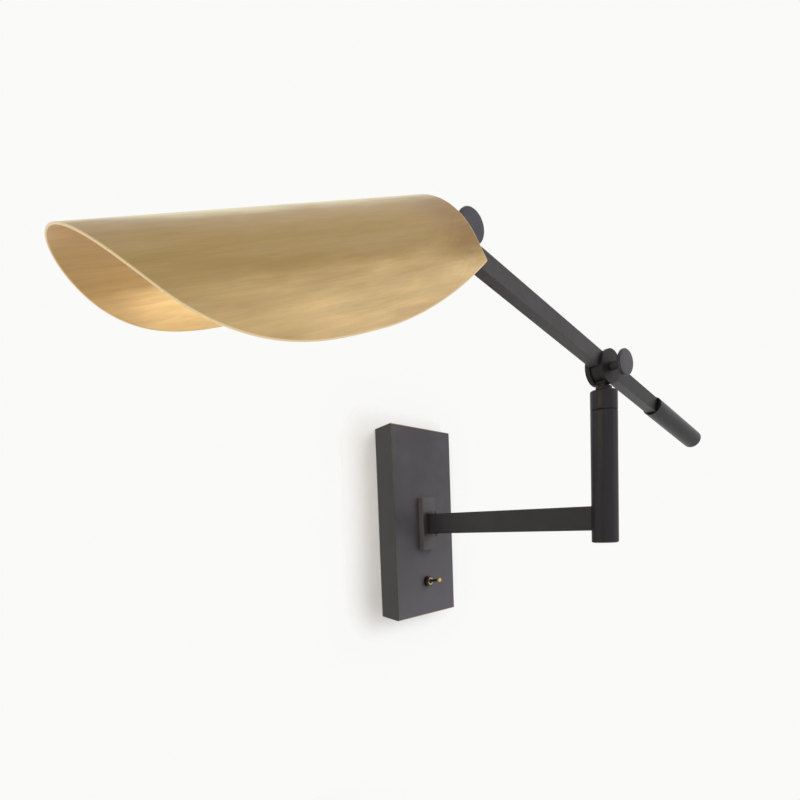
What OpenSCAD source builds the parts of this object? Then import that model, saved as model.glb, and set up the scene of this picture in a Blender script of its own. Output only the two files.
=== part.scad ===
// Swing arm wall lamp: canopy with a toggle, hinged bracket bar, round post with a swivel top,
// tilting square arm with a round grip, and a leaf shaped shade bent from one sheet.
// The wall is the plane y = 0, the lamp stands out to -Y and Z is up. Lengths in mm, angles in degrees.
// Everything is drawn in the photographed pose.

/* [Canopy] */
// width of the canopy at its front
canopy_w = 115; // [100:1:150]
// height of the canopy at its front
canopy_h = 229; // [200:1:280]
// how far the canopy stands out from the wall
canopy_d = 28; // [24:0.5:40]
// how much each side leans in toward the wall
canopy_draft = 3.4; // [0:0.1:5]
// sheet thickness of the canopy
canopy_wall = 1.6; // [1:0.1:3]
// bevel on the front edges of the canopy
canopy_bevel = 0.8; // [0.2:0.1:2]

/* [Wall plate] */
// sheet thickness of the wall plate
plate_t = 1.6; // [1:0.1:3]
// gap between the wall plate and the inside of the canopy
plate_gap = 2.2; // [1.5:0.1:6]
// distance between the two box screws
box_spacing = 88.9; // [80:0.1:92]
// width of the slot for a box screw
slot_w = 4.8; // [4:0.1:6]
// length of the slot for a box screw
slot_len = 14; // [8:0.5:20]
// diameter of the wire hole in the wall plate
wire_hole_d = 22; // [12:1:40]
// width of the folded ears of the wall plate
ear_w = 24; // [14:1:50]
// distance of the cover screws from the wall
cover_screw_y = 9; // [7:0.5:11]
// diameter of the cover screws and of the tab screws
screw_d = 4; // [3:0.5:5]

/* [Hinge tab] */
// width of the hinge tab
tab_w = 24; // [20:0.5:40]
// height of the hinge tab
tab_h = 64; // [60:1:90]
// thickness of the hinge tab
tab_t = 6.5; // [4:0.5:8]
// gap between the tab's face and the bar's round end
hinge_gap = 0.5; // [0.4:0.1:6]
// thickness of a hinge lug
lug_t = 2.4; // [2:0.1:4]
// width of a hinge lug round its pin hole
lug_rim = 2.2; // [1.6:0.1:4]
// diameter of the hinge pin
pin_d = 5; // [4:0.5:7]
// distance between the two tab screws
tab_screw_gap = 48; // [44:1:52]

/* [Bracket bar] */
// height of the bracket bar
bar_h = 24; // [18:0.5:26]
// width of the bracket bar
bar_w = 12.7; // [10:0.1:14]
// wall of the bracket bar
bar_wall = 1.6; // [1:0.1:3]
// bevel along the bar's four edges
bar_bevel = 1.2; // [0.2:0.1:2]
// height of the bar's centre over the middle of the canopy
bar_z = -2; // [-20:1:20]
// distance from the hinge pin to the post's axis
bar_reach = 208.4; // [150:0.2:300]

/* [Post] */
// diameter of the post
post_d = 25.4; // [20:0.1:32]
// wall of the post
post_wall = 2.2; // [1.5:0.1:3]
// height of the foot of the post
post_bottom = -26; // [-60:1:-20]
// height of the swivel seam
seam_z = 101; // [80:1:140]
// height of the swivel cap
cap_h = 18.5; // [14:0.5:30]
// diameter of the swivel spigot
spigot_d = 16; // [12:0.5:18]
// length of the bush that the spigot turns in
bush_len = 20; // [12:1:30]
// bevel at the rims of the post
post_bevel = 0.8; // [0.2:0.1:2]
// diameter of the neck collar
collar_d = 15; // [12:0.5:20]
// height of the neck collar
collar_h = 4.2; // [2:0.1:8]
// diameter of the neck and of the shade stem
neck_d = 10; // [8:0.5:11]

/* [Arm joints] */
// radius of the round joint cheeks
cheek_r = 16.2; // [15:0.1:20]
// thickness of the cheek at the knob
front_cheek_t = 3; // [2:0.1:6]
// thickness of the other cheek
back_cheek_t = 4.6; // [3:0.1:8]
// thickness of the web that joins the cheeks
web_t = 1.6; // [1.2:0.1:4]
// width of the web that joins the cheeks
web_w = 12; // [8:0.5:13]
// diameter of the clamp screw in a joint
clamp_d = 7; // [5:0.5:7.5]
// length of the neck that shows under the joint
neck_show = 1.2; // [0.4:0.1:10]

/* [Arm] */
// turn of the arm on the post
arm_turn = -12; // [-30:1:30]
// how far the arm dips toward its grip
arm_dip = 16.8; // [0:0.2:30]
// distance between the two arm joints
arm_reach = 209; // [150:1:300]
// height of the arm tube
tube_h = 15; // [12:0.1:15]
// width of the arm tube
tube_w = 10; // [8:0.1:14]
// wall of the arm tube
tube_wall = 1.2; // [0.8:0.1:2]
// height of the tube's centre over its joints
tube_lift = 2.2; // [0:0.1:3.5]

/* [Grip] */
// distance from the arm joint to the mouth of the grip
grip_start = 97; // [60:1:140]
// length of the grip
grip_len = 102; // [80:1:160]
// cover of the grip over the corners of the tube
grip_cover = 1; // [1:0.1:6]
// rounding at the end of the grip
grip_round = 3; // [1:0.1:6]
// depth of the recess in the mouth of the grip
grip_recess = 3; // [1:0.1:6]
// how far the tube goes into the grip
grip_hold = 42; // [20:1:60]

/* [Knobs] */
// diameter of a knob
knob_d = 25; // [20:0.5:36]
// thickness of a knob
knob_t = 3.6; // [2.5:0.1:6]
// rounding of a knob's rim
knob_round = 0.9; // [0.2:0.1:1.2]
// distance from the arm's middle to the knob's face
knob_out = 24; // [20:0.5:32]
// diameter of the knob's neck
knob_neck_d = 8.6; // [8:0.1:12]

/* [Shade stem] */
// rise of the stem toward the arm
stem_rise = 26.7; // [0:0.1:60]
// roll of the shade on its stem
shade_roll = 18.4; // [-30:0.1:30]
// slope of the stem against the ridge of the shade
stem_slope = 5; // [0:0.1:8]
// distance from the near end of the shade to the bracket's ring
ring_in = 1.8; // [0:0.1:8]
// thickness of the bracket's ring
ring_t = 6; // [4:0.5:8]
// radius of the bracket's ring
ring_r = 9; // [8:0.1:11]

/* [Lampholder and bulb] */
// diameter of the lamp cup
cup_d = 27; // [26:0.5:32]
// length of the lamp cup
cup_len = 36; // [30:1:50]
// wall of the lamp cup
cup_wall = 1.2; // [0.8:0.1:2]
// diameter of the bulb's cap
bulb_cap_d = 12; // [11:0.1:15]
// diameter of the bulb
bulb_d = 25; // [20:1:30]
// length of the bulb's glass
bulb_len = 84; // [60:1:110]
// thickness of the bulb's glass
glass_t = 0.8; // [0.5:0.1:1.5]

/* [Shade] */
// distance from the shade joint to the near end of the shade
shade_start = 29.7; // [26:0.1:40]
// height of the ridge over the shade joint
shade_up = 28.4; // [26:0.1:40]
// length of the ridge
shade_len = 225; // [180:0.2:300]
// radius of the bend along the ridge
bend_r = 57; // [50:0.5:80]
// angle of the bend on each side
bend_a = 57.9; // [40:0.1:70]
// width of the flat sheet at the near end, from ridge to edge
end_w = 73.8; // [60:0.2:90]
// greatest width of the flat sheet, from ridge to edge
leaf_w = 97.4; // [92:0.1:120]
// distance from the near end to the widest place
leaf_at = 104.5; // [80:0.5:150]
// fullness of the outline on the near side
near_full = 1.73; // [1.2:0.01:3]
// fullness of the outline toward the tip
tip_full = 3.2; // [2:0.1:5]
// thickness of the shade's sheet
sheet_t = 1.2; // [0.8:0.1:2]
// diameter of the studs under the ridge
stud_d = 3; // [2:0.5:4]
// distance between the two studs
stud_gap = 14; // [10:1:20]
// thickness of the bracket's foot
foot_t = 2.4; // [1.5:0.1:4]
// width of the bracket's foot
foot_w = 20; // [14:1:30]

/* [Toggle] */
// height of the toggle over the canopy's lower edge
toggle_up = 41.5; // [25:0.5:60]
// diameter of the toggle's bushing
toggle_bush_d = 9; // [8.5:0.1:10]
// how far the bushing stands out of the canopy
toggle_bush_out = 5.5; // [5:0.5:12]
// width of the toggle's nut across its flats
toggle_nut_w = 12; // [11:0.5:16]
// thickness of the toggle's nut
toggle_nut_t = 3.5; // [2:0.5:4.5]
// diameter of the lever
lever_d = 3.2; // [2.4:0.1:3.4]
// length of the lever from its pivot to the middle of its tip
lever_len = 15.5; // [14:0.5:24]
// diameter of the ball at the lever's tip
lever_ball_d = 4.8; // [3.6:0.1:6]
// lean of the lever to each side
lever_lean = 8; // [6:1:14]

/* [Hidden] */
$fn = 64;
run_gap = 0.05;    // radial clearance of a shaft in its bore
part_gap = 0.3;    // clearance between faces that move past each other
seat_gap = 0.02;   // clearance of a piece that seats in another of the same body

// canopy and wall plate
tan_draft = canopy_draft / canopy_d;
plate_w = canopy_w - 2 * (canopy_draft + canopy_wall + plate_gap);
plate_h = canopy_h - 2 * (canopy_draft + canopy_wall + plate_gap);
ear_d = cover_screw_y + 5;
cover_z = canopy_h / 2 - canopy_draft + cover_screw_y * tan_draft;
screw_r = screw_d / 2;
head_r = screw_d * 0.95;
head_t = screw_d * 0.55;
spot_z = cover_z - (head_r + part_gap) * tan_draft;

// hinge and bar
tab_y = canopy_d + tab_t;
hinge_out = bar_w / 2 + hinge_gap;
hinge_y = tab_y + hinge_out;
lug_z = bar_h / 2 + part_gap;
pin_r = pin_d / 2;
lug_r = pin_r + lug_rim;
pin_head_t = 0.8;
bar_r = bar_w / 2;
post_y = hinge_y + bar_reach;

// post and swivel
post_r = post_d / 2;
post_in_r = post_r - post_wall;
foot_cap_t = 4;
cap_bottom = seam_z + part_gap;
cap_top = cap_bottom + cap_h;
spigot_r = spigot_d / 2;
bush_bottom = seam_z - bush_len;
tail_r = spigot_r - 2.5;
washer_t = 1.5;
washer_top = bush_bottom - part_gap;
swivel_nut_t = 6;
tail_end = washer_top - washer_t - swivel_nut_t - 1;
pivot_up = collar_h + neck_show + cheek_r;
pivot_z = cap_top + pivot_up;
neck_r = neck_d / 2;
neck_hold = 10;

// joints
cheek_in = tube_w / 2 + part_gap;
front_face = cheek_in + front_cheek_t;
back_face = cheek_in + back_cheek_t;
clamp_r = clamp_d / 2;
web_in = cheek_r - web_t;
hub_r = web_in - part_gap;
hub_reach = hub_r + 1;
tube_foot = tube_lift - tube_h / 2;
tube_in_h = tube_h - 2 * tube_wall;
tube_in_w = tube_w - 2 * tube_wall;
spigot_len = 14;

// grip
grip_end = grip_start + grip_len;
grip_r = sqrt(tube_w * tube_w + tube_h * tube_h) / 2 + grip_cover;
recess_r = grip_r - 0.8;
tube_stop = grip_start + grip_hold;

// shade stem, lampholder and bulb
collar_at = shade_start + ring_in;
ring_end = collar_at + ring_t;
shoulder_t = 3.5;
shoulder_r = neck_r + 2.6;
stem_nut_t = 4;
nut_at = ring_end + part_gap;
cup_at = nut_at + stem_nut_t;
cup_r = cup_d / 2;
cup_nut_t = 3.2;
holder_at = cup_at + cup_wall + cup_nut_t;
cup_end = cup_at + cup_len;
holder_end = cup_end - 3;
bore_at = holder_at + 5;
bulb_cap_r = bulb_cap_d / 2;
bulb_at = cup_end + 1;
bulb_r = bulb_d / 2;
bulb_neck_r = bulb_cap_r + 1;

// shade
bend_l = bend_r * bend_a * PI / 180;
roof_r = bend_r - sheet_t - part_gap;
foot_in_r = roof_r - foot_t;
stud_at = cup_at + 8;
stud_r = stud_d / 2;
stud_drop = sheet_t + part_gap + foot_t + 4.4;
foot_end = stud_at + stud_gap + 6;
rows_near = 13;
rows_tip = 17;
cols = 30;
tip_t = 0.9997;

// toggle
toggle_bush_r = toggle_bush_d / 2;
toggle_body_d = 13;
toggle_pivot = 3.5;
toggle_z = toggle_up - canopy_h / 2;
lever_r = lever_d / 2;
lever_ball_r = lever_r + 1.2;

bronze = [0.27, 0.26, 0.27];
steel = [0.62, 0.63, 0.64];
brass = [0.72, 0.62, 0.42];
nickel = [0.78, 0.77, 0.74];

// ---- places
module at_post() { translate([0, -post_y, 0]) children(); }
module at_pivot() { translate([0, -post_y, pivot_z]) rotate([0, 0, arm_turn]) children(); }
module at_arm() { at_pivot() rotate([0, arm_dip, 0]) children(); }
module at_head() { at_arm() translate([-arm_reach, 0, 0]) children(); }
module at_stem() { at_head() rotate([0, -arm_dip - stem_rise, 0]) children(); }
module at_ring() { at_stem() rotate([shade_roll, 0, 0]) children(); }
module at_shade() { at_ring() rotate([0, stem_slope, 0]) children(); }

// a round solid along -X, from x = -from for a length
module along(from, len, r) {
    rotate([0, -90, 0]) translate([0, 0, from]) cylinder(h = len, r = r);
}
// a round solid along -Y, from y = -from for a length
module outward(from, len, r) {
    rotate([90, 0, 0]) translate([0, 0, from]) cylinder(h = len, r = r);
}
// a hexagon nut of a width across its flats, on +Z
module hex(across, len) { cylinder(h = len, r = across / sqrt(3), $fn = 6); }

// ---- canopy
module drafted(inset, depth, back, bevel) {
    w = canopy_w / 2 - inset;
    h = canopy_h / 2 - inset;
    k = tan_draft;
    f = canopy_d - depth;
    intersection() {
        linear_extrude(height = 2 * canopy_h, center = true)
            polygon([[-(w - canopy_draft - back * k), back], [w - canopy_draft - back * k, back],
                [w - (f + bevel) * k, -(depth - bevel)], [w - f * k - bevel, -depth],
                [-(w - f * k - bevel), -depth], [-(w - (f + bevel) * k), -(depth - bevel)]]);
        rotate([90, 0, 90]) linear_extrude(height = 2 * canopy_w, center = true)
            polygon([[back, -(h - canopy_draft - back * k)], [back, h - canopy_draft - back * k],
                [-(depth - bevel), h - (f + bevel) * k], [-depth, h - f * k - bevel],
                [-depth, -(h - f * k - bevel)], [-(depth - bevel), -(h - (f + bevel) * k)]]);
    }
}
module canopy() {
    color(bronze) difference() {
        drafted(0, canopy_d, 0, canopy_bevel);
        drafted(canopy_wall, canopy_d - canopy_wall, 1, canopy_bevel);
        for (s = [-1, 1]) translate([0, -cover_screw_y, s * spot_z]) {
            cylinder(h = 10, r = screw_r + part_gap, center = true);
            translate([0, 0, s > 0 ? 0 : -6]) cylinder(h = 6, r = head_r + part_gap);
        }
        for (s = [-1, 1]) translate([0, 0, bar_z + s * tab_screw_gap / 2])
            outward(canopy_d - 5, 10, screw_r + part_gap);
        translate([0, 0, toggle_z]) outward(canopy_d - 5, 10, toggle_bush_r + run_gap);
    }
}
module wall_plate() {
    color(steel) difference() {
        union() {
            translate([-plate_w / 2, -plate_t, -plate_h / 2]) cube([plate_w, plate_t, plate_h]);
            for (s = [-1, 1]) translate([-ear_w / 2, -ear_d, s * plate_h / 2 - (s > 0 ? plate_t : 0)])
                cube([ear_w, ear_d, plate_t]);
        }
        outward(-1, plate_t + 2, wire_hole_d / 2);
        for (s = [-1, 1]) translate([0, 0, s * box_spacing / 2]) {
            for (e = [-1, 1]) translate([0, 0, e * (slot_len - slot_w) / 2]) outward(-1, plate_t + 2, slot_w / 2);
            translate([-slot_w / 2, -plate_t - 1, -(slot_len - slot_w) / 2])
                cube([slot_w, plate_t + 2, slot_len - slot_w]);
        }
        for (s = [-1, 1]) translate([0, -cover_screw_y, s * plate_h / 2])
            cylinder(h = 4 * plate_t, r = screw_r + seat_gap, center = true);
        translate([plate_w / 4, 0, -plate_h / 4]) outward(-1, plate_t + 2, screw_r + seat_gap);
    }
}
module ground_screw() {
    color([0.25, 0.5, 0.3]) translate([plate_w / 4, 0, -plate_h / 4]) difference() {
        union() {
            outward(0, plate_t, screw_r);
            outward(plate_t, head_t, head_r);
        }
        translate([-head_r, -plate_t - head_t - 0.01, -0.5]) cube([2 * head_r, 1, 1]);
    }
}
module cover_screws() {
    color(bronze) for (s = [-1, 1]) mirror([0, 0, s > 0 ? 0 : 1])
        translate([0, -cover_screw_y, 0]) difference() {
            union() {
                translate([0, 0, plate_h / 2 - plate_t - 2])
                    cylinder(h = spot_z - plate_h / 2 + plate_t + 2, r = screw_r);
                translate([0, 0, spot_z]) cylinder(h = head_t, r = head_r);
            }
            translate([0, 0, spot_z + head_t - 1.2]) hex(screw_d * 0.6, 2);
        }
}

// ---- hinge tab and pin
module hinge_tab() {
    color(bronze) difference() {
        union() {
            translate([-tab_w / 2, -tab_y, bar_z - tab_h / 2]) cube([tab_w, tab_t, tab_h]);
            for (s = [-1, 1]) translate([0, 0, bar_z + s * lug_z + (s > 0 ? 0 : -lug_t)]) {
                translate([0, -hinge_y, 0]) cylinder(h = lug_t, r = lug_r);
                translate([-lug_r, -hinge_y, 0]) cube([2 * lug_r, hinge_out + 1, lug_t]);
            }
        }
        translate([0, -hinge_y, bar_z]) cylinder(h = 4 * lug_z, r = pin_r + seat_gap, center = true);
        for (s = [-1, 1]) translate([0, 0, bar_z + s * tab_screw_gap / 2])
            outward(canopy_d - 1, tab_t, screw_r + seat_gap);
    }
}
module tab_screws() {
    color(steel) for (s = [-1, 1]) translate([0, 0, bar_z + s * tab_screw_gap / 2]) {
        outward(canopy_d - canopy_wall - head_t, head_t, head_r);
        outward(canopy_d - canopy_wall, canopy_wall + tab_t - 1.2, screw_r);
    }
}
module hinge_pin() {
    color(bronze) translate([0, -hinge_y, bar_z]) union() {
        cylinder(h = 2 * (lug_z + lug_t), r = pin_r, center = true);
        for (s = [-1, 1]) translate([0, 0, s * (lug_z + lug_t) + (s > 0 ? 0 : -pin_head_t)])
            cylinder(h = pin_head_t, r = pin_r + 1.2);
    }
}

// ---- toggle
module toggle_body() {
    color([0.16, 0.16, 0.17]) translate([0, 0, toggle_z]) {
        translate([-toggle_body_d / 2, -(canopy_d - canopy_wall), -13]) cube([toggle_body_d, 14, 26]);
        for (s = [-1, 1]) translate([-2, -(canopy_d - canopy_wall - 14), s * 8 - 0.5]) cube([4, 5, 1]);
    }
}
module toggle_bushing() {
    color(nickel) translate([0, 0, toggle_z]) difference() {
        outward(canopy_d - canopy_wall, canopy_wall + toggle_bush_out, toggle_bush_r);
        outward(canopy_d + toggle_pivot - 4, toggle_bush_out, lever_ball_r + run_gap);
        rotate([90, 0, 0]) translate([0, 0, canopy_d + toggle_pivot])
            cylinder(h = toggle_bush_out, r1 = lever_ball_r + run_gap,
                r2 = lever_ball_r + run_gap + toggle_bush_out * 0.17);
    }
}
module toggle_nut() {
    color(bronze) translate([0, 0, toggle_z]) rotate([90, 0, 0]) translate([0, 0, canopy_d])
        difference() {
            hex(toggle_nut_w, toggle_nut_t);
            translate([0, 0, -1]) cylinder(h = toggle_nut_t + 2, r = toggle_bush_r + seat_gap);
        }
}
module toggle_lever() {
    color([0.3, 0.2, 0.14]) translate([0, -canopy_d - toggle_pivot, toggle_z]) rotate([-lever_lean, 0, 0])
        union() {
            sphere(r = lever_ball_r);
            outward(0, lever_len, lever_r);
            translate([0, -lever_len, 0]) sphere(r = lever_ball_d / 2);
        }
}

// ---- bracket bar
// a rectangle of half sizes w and h with its corners cut off by b
module bevelled(w, h, b) {
    polygon([[-w, -h + b], [-w + b, -h], [w - b, -h], [w, -h + b], [w, h - b], [w - b, h], [-w + b, h], [-w, h - b]]);
}
module bracket_bar() {
    root = bar_w + 4;
    color(bronze) translate([0, 0, bar_z]) difference() {
        union() {
            translate([0, -hinge_y, 0]) cylinder(h = bar_h, r = bar_r, center = true);
            translate([0, -hinge_y, 0]) rotate([90, 0, 0]) linear_extrude(height = bar_reach)
                bevelled(bar_r, bar_h / 2, bar_bevel);
        }
        translate([0, -hinge_y, 0]) cylinder(h = bar_h + 2, r = pin_r + run_gap, center = true);
        translate([-bar_r + bar_wall, -post_y, -bar_h / 2 + bar_wall])
            cube([bar_w - 2 * bar_wall, bar_reach - root, bar_h - 2 * bar_wall]);
        translate([0, -post_y, 0]) cylinder(h = bar_h + 2, r = post_r + seat_gap, center = true);
    }
}

// ---- post
module post_tube() {
    low = post_bottom + foot_cap_t;
    color(bronze) at_post() rotate_extrude() polygon([[post_in_r, low], [post_r, low],
        [post_r, seam_z - post_bevel / 2], [post_r - post_bevel / 2, seam_z], [post_in_r, seam_z]]);
}
module post_foot() {
    low = post_bottom + foot_cap_t;
    color(bronze) at_post() rotate_extrude() polygon([[0, post_bottom], [post_r - 2 * post_bevel, post_bottom],
        [post_r, post_bottom + post_bevel], [post_r, low], [post_in_r - seat_gap, low],
        [post_in_r - seat_gap, low + 6], [0, low + 6]]);
}
module post_bush() {
    color([0.55, 0.5, 0.42]) at_post() rotate_extrude() polygon([[spigot_r + run_gap, bush_bottom],
        [post_in_r - seat_gap, bush_bottom], [post_in_r - seat_gap, seam_z], [spigot_r + run_gap, seam_z]]);
}
module swivel_cap() {
    b = post_bevel;
    color(bronze) at_post() rotate_extrude() polygon([[0, tail_end], [tail_r, tail_end],
        [tail_r, washer_top], [spigot_r, washer_top], [spigot_r, cap_bottom], [post_r - b / 2, cap_bottom],
        [post_r, cap_bottom + b / 2], [post_r, cap_top - b], [post_r - b, cap_top], [neck_r + seat_gap, cap_top],
        [neck_r + seat_gap, cap_top - neck_hold], [0, cap_top - neck_hold]]);
}
module swivel_washer() {
    color(steel) at_post() translate([0, 0, washer_top - washer_t]) difference() {
        cylinder(h = washer_t, r = post_in_r - 0.8);
        translate([0, 0, -1]) cylinder(h = washer_t + 2, r = tail_r + seat_gap);
    }
}
module swivel_nut() {
    color(steel) at_post() translate([0, 0, washer_top - washer_t - swivel_nut_t]) difference() {
        hex(2 * tail_r * 1.45, swivel_nut_t);
        translate([0, 0, -1]) cylinder(h = swivel_nut_t + 2, r = tail_r + seat_gap);
    }
}
module neck_collar() {
    color(bronze) at_post() rotate_extrude() polygon([[neck_r + seat_gap, cap_top], [collar_d / 2, cap_top],
        [collar_d / 2, cap_top + collar_h - 0.6], [collar_d / 2 - 0.6, cap_top + collar_h],
        [neck_r + seat_gap, cap_top + collar_h]]);
}

// ---- joints: a yoke on a stem along -Z, its clamp screw along Y, the knob on -Y
module yoke(stem_to) {
    difference() {
        union() {
            outward(cheek_in, front_cheek_t, cheek_r);
            outward(-back_face, back_cheek_t, cheek_r);
            intersection() {
                outward(-cheek_in - 0.5, 2 * cheek_in + 1, cheek_r);
                translate([-web_w / 2, -20, -2 * cheek_r]) cube([web_w, 40, 2 * cheek_r - 2]);
            }
            translate([0, 0, -stem_to]) cylinder(h = stem_to - web_in + 2, r = neck_r);
        }
        outward(-cheek_in, 2 * cheek_in, web_in);
        outward(-back_face - 1, back_face + front_face + 2, clamp_r + run_gap);
    }
}
module knob() {
    k = knob_out;
    r = knob_d / 2;
    b = knob_round;
    rotate([90, 0, 0]) rotate_extrude() polygon([[0, -back_face], [clamp_r - 0.5, -back_face],
        [clamp_r, -back_face + 0.5], [clamp_r, front_face + part_gap], [knob_neck_d / 2, front_face + part_gap],
        [knob_neck_d / 2, k - knob_t], [r - b, k - knob_t], [r, k - knob_t + b], [r, k - b - 0.3],
        [r - b, k - 0.3], [r * 0.6, k - 0.06], [0, k]]);
}
// the solid block between the cheeks, with a spigot for the tube toward each side in the list
module hub(sides) {
    difference() {
        union() {
            outward(-tube_w / 2, tube_w, hub_r);
            for (s = sides) {
                translate([s > 0 ? 0 : -hub_reach, -tube_w / 2, tube_foot]) cube([hub_reach, tube_w, tube_h]);
                translate([s > 0 ? 0 : -hub_reach - spigot_len, -tube_in_w / 2 + seat_gap,
                    tube_foot + tube_wall + seat_gap])
                    cube([hub_reach + spigot_len, tube_in_w - 2 * seat_gap, tube_in_h - 2 * seat_gap]);
            }
        }
        outward(-tube_w, 2 * tube_w, clamp_r + run_gap);
    }
}
module square_tube(from, to) {
    difference() {
        translate([from, -tube_w / 2, tube_foot]) cube([to - from, tube_w, tube_h]);
        translate([from - 1, -tube_in_w / 2, tube_foot + tube_wall]) cube([to - from + 2, tube_in_w, tube_in_h]);
    }
}
module lower_yoke() { color(bronze) at_pivot() yoke(pivot_up + neck_hold); }
module tilt_knob() { color(bronze) at_pivot() knob(); }
module arm_hub() { color(bronze) at_arm() hub([-1, 1]); }
module end_hub() { color(bronze) at_head() hub([1]); }
module arm_tube() { color(bronze) at_arm() square_tube(-arm_reach + hub_reach, -hub_reach); }
module rear_tube() { color(bronze) at_arm() square_tube(hub_reach, tube_stop); }
module grip() {
    q = grip_round;
    color(bronze) at_arm() translate([0, 0, tube_lift]) difference() {
        rotate([0, 90, 0]) rotate_extrude() polygon(concat([[0, grip_start], [grip_r - 0.4, grip_start],
            [grip_r, grip_start + 0.4]],
            [for (i = [0:6]) [grip_r - q + q * cos(15 * i), grip_end - q + q * sin(15 * i)]],
            [[0, grip_end]]));
        rotate([0, 90, 0]) translate([0, 0, grip_start - 1]) cylinder(h = grip_recess + 1, r = recess_r);
        translate([grip_start, -tube_w / 2 - seat_gap, -tube_h / 2 - seat_gap])
            cube([grip_hold, tube_w + 2 * seat_gap, tube_h + 2 * seat_gap]);
    }
}

// ---- shade stem, lampholder and bulb
module shade_yoke() {
    color(bronze) at_stem() union() {
        rotate([0, 90, 0]) yoke(cup_at + cup_wall + cup_nut_t);
        along(collar_at - part_gap - shoulder_t, shoulder_t, shoulder_r);
    }
}
module shade_knob() { color(bronze) at_head() knob(); }
module stem_nut() {
    color(bronze) at_stem() difference() {
        rotate([0, -90, 0]) translate([0, 0, nut_at]) hex(2 * neck_r * 1.5, stem_nut_t);
        along(nut_at - 1, stem_nut_t + 2, neck_r + seat_gap);
    }
}
module lamp_cup() {
    color(bronze) at_stem() rotate([0, -90, 0]) rotate_extrude() polygon([[neck_r + seat_gap, cup_at],
        [cup_r - 1.5, cup_at], [cup_r, cup_at + 1.5], [cup_r, cup_end], [cup_r - cup_wall, cup_end],
        [cup_r - cup_wall, cup_at + cup_wall], [neck_r + seat_gap, cup_at + cup_wall]]);
}
module cup_nut() {
    color(steel) at_stem() difference() {
        rotate([0, -90, 0]) translate([0, 0, cup_at + cup_wall]) hex(2 * neck_r * 1.5, cup_nut_t);
        along(cup_at, cup_nut_t + 4, neck_r + seat_gap);
    }
}
module lampholder() {
    color([0.9, 0.88, 0.84]) at_stem() difference() {
        along(holder_at, holder_end - holder_at, cup_r - cup_wall - seat_gap);
        along(bore_at, holder_end, bulb_cap_r + seat_gap);
    }
}
module bulb_cap() {
    color(nickel) at_stem() rotate([0, -90, 0]) rotate_extrude() polygon([[0, bore_at], [3, bore_at],
        [bulb_cap_r - 0.6, bore_at + 2.5], [bulb_cap_r, bore_at + 3.5], [bulb_cap_r, bulb_at], [0, bulb_at]]);
}
function dome(r, at, n) = [for (i = [0:n]) [r * cos(90 * i / n), at + r * sin(90 * i / n)]];
module bulb_glass() {
    round_at = bulb_at + bulb_len - bulb_r;
    neck_to = bulb_at + 12;
    t = glass_t;
    color([0.95, 0.93, 0.88, 0.5]) at_stem() rotate([0, -90, 0]) rotate_extrude() difference() {
        polygon(concat([[0, bulb_at], [bulb_neck_r, bulb_at], [bulb_neck_r, bulb_at + 2], [bulb_r, neck_to]],
            dome(bulb_r, round_at, 12)));
        polygon(concat([[0, bulb_at - 1], [bulb_neck_r - t, bulb_at - 1], [bulb_neck_r - t, bulb_at + 2.3],
            [bulb_r - t, neck_to + 0.3]], dome(bulb_r - t, round_at, 12)));
    }
}
module filament() {
    color([1, 0.85, 0.55]) at_stem() {
        along(bulb_at, 18, 2.2);
        along(bulb_at + 16, 1.2, 5.4);
        for (i = [0:3]) rotate([90 * i + 45, 0, 0]) translate([0, 0, 4.2])
            along(bulb_at + 16, bulb_len - 38, 0.9);
        along(bulb_at + bulb_len - 22, 1.2, 5.4);
    }
}

// ---- shade
// roof of a radius about the line that the ridge is bent over
module roof(r) { translate([50, 0, shade_up - bend_r]) rotate([0, -90, 0]) cylinder(h = 400, r = r, $fn = 128); }
module shade_bracket() {
    color(bronze) difference() {
        union() {
            at_ring() along(collar_at, ring_t, ring_r);
            intersection() {
                at_ring() translate([-ring_end, -ring_r + 1.5, 0]) cube([ring_t, 2 * ring_r - 3, 60]);
                at_shade() roof(roof_r);
            }
            at_shade() intersection() {
                difference() {
                    roof(roof_r);
                    roof(foot_in_r);
                }
                translate([-foot_end, -foot_w / 2, 0]) cube([foot_end - collar_at, foot_w, 60]);
            }
        }
        at_ring() along(collar_at - 1, ring_t + 2, neck_r + run_gap);
        at_shade() for (i = [0, 1]) translate([-stud_at - i * stud_gap, 0, shade_up - 20])
            cylinder(h = 30, r = stud_r + seat_gap);
    }
}
module shade_studs() {
    color(brass) at_shade() for (i = [0, 1]) translate([-stud_at - i * stud_gap, 0, shade_up - stud_drop])
        cylinder(h = stud_drop - sheet_t - 0.1, r = stud_r);
}
module stud_nuts() {
    seat = shade_up - sheet_t - part_gap - foot_t;
    color(steel) at_shade() for (i = [0, 1]) translate([-stud_at - i * stud_gap, 0, seat - 2.9])
        difference() {
            hex(stud_d * 1.8, 2.4);
            translate([0, 0, -1]) cylinder(h = 6, r = stud_r + seat_gap);
        }
}
// width of the flat sheet from ridge to edge, at a distance from the near end
function leaf(u) = u < leaf_at
    ? end_w + (leaf_w - end_w) * (1 - pow(1 - u / leaf_at, near_full))
    : leaf_w * sqrt(1 - pow((u - leaf_at) / (shade_len - leaf_at), tip_full));
// rows of the sheet, close together where the tip turns
row_u = concat([for (i = [0:rows_near - 1]) leaf_at * i / rows_near],
    [for (i = [0:rows_tip]) leaf_at + (shade_len - leaf_at) * tip_t * sin(90 * i / rows_tip)]);
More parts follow.
